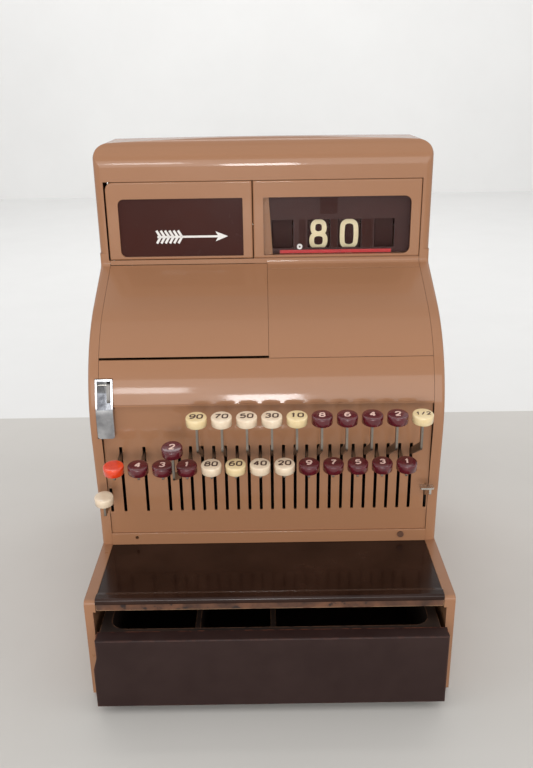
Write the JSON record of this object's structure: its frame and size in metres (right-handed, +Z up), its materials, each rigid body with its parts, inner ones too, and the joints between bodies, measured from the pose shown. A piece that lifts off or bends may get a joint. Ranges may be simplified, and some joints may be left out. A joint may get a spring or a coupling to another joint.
{
  "type": "ticket register",
  "caption": "Mechanical ticket register with number wheels behind glass, lever keys with round caps, hinged printer lid, display door and a cash drawer below.",
  "frame": {"origin": "middle of the footprint with the drawer ajar, on the surface that the feet stand on", "axes": "+X to the user's right, +Y from the drawer to the back, +Z up"},
  "size_m": [0.332, 0.412, 0.4842],
  "materials": {
    "tan_paint": "satin",
    "tan_paint_wood": "painted satin",
    "brown_lacquer": "painted gloss",
    "worn_wood": "worn",
    "drawer_wood": "satin",
    "mask_paint": "satin",
    "maroon_panel": "gloss",
    "clear_glass": "gloss",
    "dark_steel": "satin",
    "lever_steel": "satin",
    "bright_steel": "satin",
    "chrome": "gloss",
    "rubber": "matte",
    "paper": "matte",
    "wheel_black": "satin",
    "cap_cream": "gloss",
    "cap_yellow_cream": "gloss",
    "cap_maroon": "gloss",
    "cap_red": "gloss"
  },
  "bodies": {
    "housing": {"cabinet_casing": "tan_paint_wood", "cabinet_floor": "dark_steel", "rubber_feet": "rubber", "deck_board": "brown_lacquer", "deck_strip": "worn_wood", "left_side_cover": "tan_paint", "right_side_cover": "tan_paint", "front_slope_panel": "tan_paint", "front_cover": "tan_paint", "key_plate": "tan_paint", "lower_rail": "tan_paint", "rear_cover": "tan_paint", "cover_screws": "bright_steel", "hood": "tan_paint", "indicator_frame": "tan_paint", "indicator_glass": "clear_glass", "indicator_mask": "mask_paint", "mechanism_chassis": "dark_steel", "key_shaft": "bright_steel", "indicator_shaft": "bright_steel", "hinge_pins": "bright_steel", "catch_plate": "chrome"},
    "drawer": {"drawer_front": "brown_lacquer", "drawer_tray": "drawer_wood", "drawer_dividers": "drawer_wood"},
    "display_door": {"display_door": "tan_paint", "arrow_panel": "maroon_panel"},
    "printer_lid": {"printer_lid": "tan_paint"},
    "catch_lever": {"catch_lever": "dark_steel"},
    "ticket_roll": {"ticket_roll": "paper"},
    "left_short_key": {"left_short_key": "lever_steel"},
    "right_short_key": {"right_short_key": "lever_steel"},
    "wheel_pounds": {"wheel_pounds": "wheel_black"},
    "wheel_tens": {"wheel_tens": "wheel_black"},
    "wheel_units": {"wheel_units": "wheel_black"},
    "wheel_half": {"wheel_half": "wheel_black"},
    "key_red": {"key_red": "lever_steel"},
    "key_pounds_4": {"key_pounds_4": "lever_steel"},
    "key_pounds_3": {"key_pounds_3": "lever_steel"},
    "key_pounds_2": {"key_pounds_2": "lever_steel"},
    "key_pounds_1": {"key_pounds_1": "lever_steel"},
    "key_tens_9": {"key_tens_9": "lever_steel"},
    "key_tens_8": {"key_tens_8": "lever_steel"},
    "key_tens_7": {"key_tens_7": "lever_steel"},
    "key_tens_6": {"key_tens_6": "lever_steel"},
    "key_tens_5": {"key_tens_5": "lever_steel"},
    "key_tens_4": {"key_tens_4": "lever_steel"},
    "key_tens_3": {"key_tens_3": "lever_steel"},
    "key_tens_2": {"key_tens_2": "lever_steel"},
    "key_tens_1": {"key_tens_1": "lever_steel"},
    "key_units_9": {"key_units_9": "lever_steel"},
    "key_units_8": {"key_units_8": "lever_steel"},
    "key_units_7": {"key_units_7": "lever_steel"},
    "key_units_6": {"key_units_6": "lever_steel"},
    "key_units_5": {"key_units_5": "lever_steel"},
    "key_units_4": {"key_units_4": "lever_steel"},
    "key_units_3": {"key_units_3": "lever_steel"},
    "key_units_2": {"key_units_2": "lever_steel"},
    "key_units_1": {"key_units_1": "lever_steel"},
    "key_half": {"key_half": "lever_steel"}
  },
  "joints": [
    {"name": "drawer_slide", "type": "slide", "parent": "housing", "child": "drawer", "axis": [0, -1, 0], "range_m": [-0.025, 0.22]},
    {"name": "display_door_hinge", "type": "hinge", "parent": "housing", "child": "display_door", "pos_m": [-0.1527, 0.0257, 0.406], "axis": [0, 0, 1], "range_deg": [-90, 0]},
    {"name": "printer_lid_hinge", "type": "hinge", "parent": "housing", "child": "printer_lid", "pos_m": [-0.076, 0.01991, 0.35861], "axis": [-1, 0, 0], "range_deg": [0, 75]},
    {"name": "catch_lever_hinge", "type": "hinge", "parent": "housing", "child": "catch_lever", "pos_m": [-0.1472, -0.079, 0.272], "axis": [1, 0, 0], "range_deg": [0, 30], "stiffness_Nm_per_rad": 0.01, "springref_deg": -11.46},
    {"name": "ticket_roll_spin", "type": "hinge", "parent": "housing", "child": "ticket_roll", "pos_m": [-0.125, 0.009, 0.3], "axis": [1, 0, 0], "continuous": true},
    {"name": "wheel_pounds_spin", "type": "hinge", "parent": "housing", "child": "wheel_pounds", "pos_m": [0.0185, 0.0905, 0.391], "axis": [1, 0, 0], "range_deg": [0, 144]},
    {"name": "wheel_tens_spin", "type": "hinge", "parent": "housing", "child": "wheel_tens", "pos_m": [0.055, 0.0905, 0.391], "axis": [1, 0, 0], "range_deg": [-288, 36]},
    {"name": "wheel_units_spin", "type": "hinge", "parent": "housing", "child": "wheel_units", "pos_m": [0.086, 0.0905, 0.391], "axis": [1, 0, 0], "range_deg": [0, 324]},
    {"name": "wheel_half_spin", "type": "hinge", "parent": "housing", "child": "wheel_half", "pos_m": [0.121, 0.0905, 0.391], "axis": [1, 0, 0], "range_deg": [0, 36]},
    {"name": "left_short_key_press", "type": "hinge", "parent": "housing", "child": "left_short_key", "pos_m": [-0.1532, 0.149, 0.185], "axis": [1, 0, 0], "range_deg": [0, 2.5], "stiffness_Nm_per_rad": 5, "springref_deg": -3.44},
    {"name": "right_short_key_press", "type": "hinge", "parent": "housing", "child": "right_short_key", "pos_m": [0.1532, 0.149, 0.185], "axis": [1, 0, 0], "range_deg": [0, 2.5], "stiffness_Nm_per_rad": 5, "springref_deg": -3.44},
    {"name": "key_red_press", "type": "hinge", "parent": "housing", "child": "key_red", "pos_m": [-0.14008, 0.149, 0.185], "axis": [1, 0, 0], "range_deg": [0, 5.2], "stiffness_Nm_per_rad": 3, "springref_deg": -6.88},
    {"name": "key_pounds_4_press", "type": "hinge", "parent": "housing", "child": "key_pounds_4", "pos_m": [-0.11788, 0.149, 0.185], "axis": [1, 0, 0], "range_deg": [0, 7.4], "stiffness_Nm_per_rad": 3, "springref_deg": -6.88},
    {"name": "key_pounds_3_press", "type": "hinge", "parent": "housing", "child": "key_pounds_3", "pos_m": [-0.09568, 0.149, 0.185], "axis": [1, 0, 0], "range_deg": [0, 7.4], "stiffness_Nm_per_rad": 3, "springref_deg": -6.88},
    {"name": "key_pounds_2_press", "type": "hinge", "parent": "housing", "child": "key_pounds_2", "pos_m": [-0.08458, 0.149, 0.185], "axis": [1, 0, 0], "range_deg": [-5.3, 2.1]},
    {"name": "key_pounds_1_press", "type": "hinge", "parent": "housing", "child": "key_pounds_1", "pos_m": [-0.07348, 0.149, 0.185], "axis": [1, 0, 0], "range_deg": [0, 7.4], "stiffness_Nm_per_rad": 3, "springref_deg": -6.88},
    {"name": "key_tens_9_press", "type": "hinge", "parent": "housing", "child": "key_tens_9", "pos_m": [-0.06238, 0.149, 0.185], "axis": [1, 0, 0], "range_deg": [0, 7.4], "stiffness_Nm_per_rad": 3, "springref_deg": -6.88},
    {"name": "key_tens_8_press", "type": "hinge", "parent": "housing", "child": "key_tens_8", "pos_m": [-0.05128, 0.149, 0.185], "axis": [1, 0, 0], "range_deg": [0, 7.4], "stiffness_Nm_per_rad": 3, "springref_deg": -6.88},
    {"name": "key_tens_7_press", "type": "hinge", "parent": "housing", "child": "key_tens_7", "pos_m": [-0.04018, 0.149, 0.185], "axis": [1, 0, 0], "range_deg": [0, 7.4], "stiffness_Nm_per_rad": 3, "springref_deg": -6.88},
    {"name": "key_tens_6_press", "type": "hinge", "parent": "housing", "child": "key_tens_6", "pos_m": [-0.02908, 0.149, 0.185], "axis": [1, 0, 0], "range_deg": [0, 7.4], "stiffness_Nm_per_rad": 3, "springref_deg": -6.88},
    {"name": "key_tens_5_press", "type": "hinge", "parent": "housing", "child": "key_tens_5", "pos_m": [-0.01798, 0.149, 0.185], "axis": [1, 0, 0], "range_deg": [0, 7.4], "stiffness_Nm_per_rad": 3, "springref_deg": -6.88},
    {"name": "key_tens_4_press", "type": "hinge", "parent": "housing", "child": "key_tens_4", "pos_m": [-0.00688, 0.149, 0.185], "axis": [1, 0, 0], "range_deg": [0, 7.4], "stiffness_Nm_per_rad": 3, "springref_deg": -6.88},
    {"name": "key_tens_3_press", "type": "hinge", "parent": "housing", "child": "key_tens_3", "pos_m": [0.00422, 0.149, 0.185], "axis": [1, 0, 0], "range_deg": [0, 7.4], "stiffness_Nm_per_rad": 3, "springref_deg": -6.88},
    {"name": "key_tens_2_press", "type": "hinge", "parent": "housing", "child": "key_tens_2", "pos_m": [0.01532, 0.149, 0.185], "axis": [1, 0, 0], "range_deg": [0, 7.4], "stiffness_Nm_per_rad": 3, "springref_deg": -6.88},
    {"name": "key_tens_1_press", "type": "hinge", "parent": "housing", "child": "key_tens_1", "pos_m": [0.02642, 0.149, 0.185], "axis": [1, 0, 0], "range_deg": [0, 7.4], "stiffness_Nm_per_rad": 3, "springref_deg": -6.88},
    {"name": "key_units_9_press", "type": "hinge", "parent": "housing", "child": "key_units_9", "pos_m": [0.03752, 0.149, 0.185], "axis": [1, 0, 0], "range_deg": [0, 7.4], "stiffness_Nm_per_rad": 3, "springref_deg": -6.88},
    {"name": "key_units_8_press", "type": "hinge", "parent": "housing", "child": "key_units_8", "pos_m": [0.04862, 0.149, 0.185], "axis": [1, 0, 0], "range_deg": [0, 7.4], "stiffness_Nm_per_rad": 3, "springref_deg": -6.88},
    {"name": "key_units_7_press", "type": "hinge", "parent": "housing", "child": "key_units_7", "pos_m": [0.05972, 0.149, 0.185], "axis": [1, 0, 0], "range_deg": [0, 7.4], "stiffness_Nm_per_rad": 3, "springref_deg": -6.88},
    {"name": "key_units_6_press", "type": "hinge", "parent": "housing", "child": "key_units_6", "pos_m": [0.07082, 0.149, 0.185], "axis": [1, 0, 0], "range_deg": [0, 7.4], "stiffness_Nm_per_rad": 3, "springref_deg": -6.88},
    {"name": "key_units_5_press", "type": "hinge", "parent": "housing", "child": "key_units_5", "pos_m": [0.08192, 0.149, 0.185], "axis": [1, 0, 0], "range_deg": [0, 7.4], "stiffness_Nm_per_rad": 3, "springref_deg": -6.88},
    {"name": "key_units_4_press", "type": "hinge", "parent": "housing", "child": "key_units_4", "pos_m": [0.09302, 0.149, 0.185], "axis": [1, 0, 0], "range_deg": [0, 7.4], "stiffness_Nm_per_rad": 3, "springref_deg": -6.88},
    {"name": "key_units_3_press", "type": "hinge", "parent": "housing", "child": "key_units_3", "pos_m": [0.10412, 0.149, 0.185], "axis": [1, 0, 0], "range_deg": [0, 7.4], "stiffness_Nm_per_rad": 3, "springref_deg": -6.88},
    {"name": "key_units_2_press", "type": "hinge", "parent": "housing", "child": "key_units_2", "pos_m": [0.11522, 0.149, 0.185], "axis": [1, 0, 0], "range_deg": [0, 7.4], "stiffness_Nm_per_rad": 3, "springref_deg": -6.88},
    {"name": "key_units_1_press", "type": "hinge", "parent": "housing", "child": "key_units_1", "pos_m": [0.12632, 0.149, 0.185], "axis": [1, 0, 0], "range_deg": [0, 7.4], "stiffness_Nm_per_rad": 3, "springref_deg": -6.88},
    {"name": "key_half_press", "type": "hinge", "parent": "housing", "child": "key_half", "pos_m": [0.13742, 0.149, 0.185], "axis": [1, 0, 0], "range_deg": [0, 7.4], "stiffness_Nm_per_rad": 3, "springref_deg": -6.88}
  ]
}
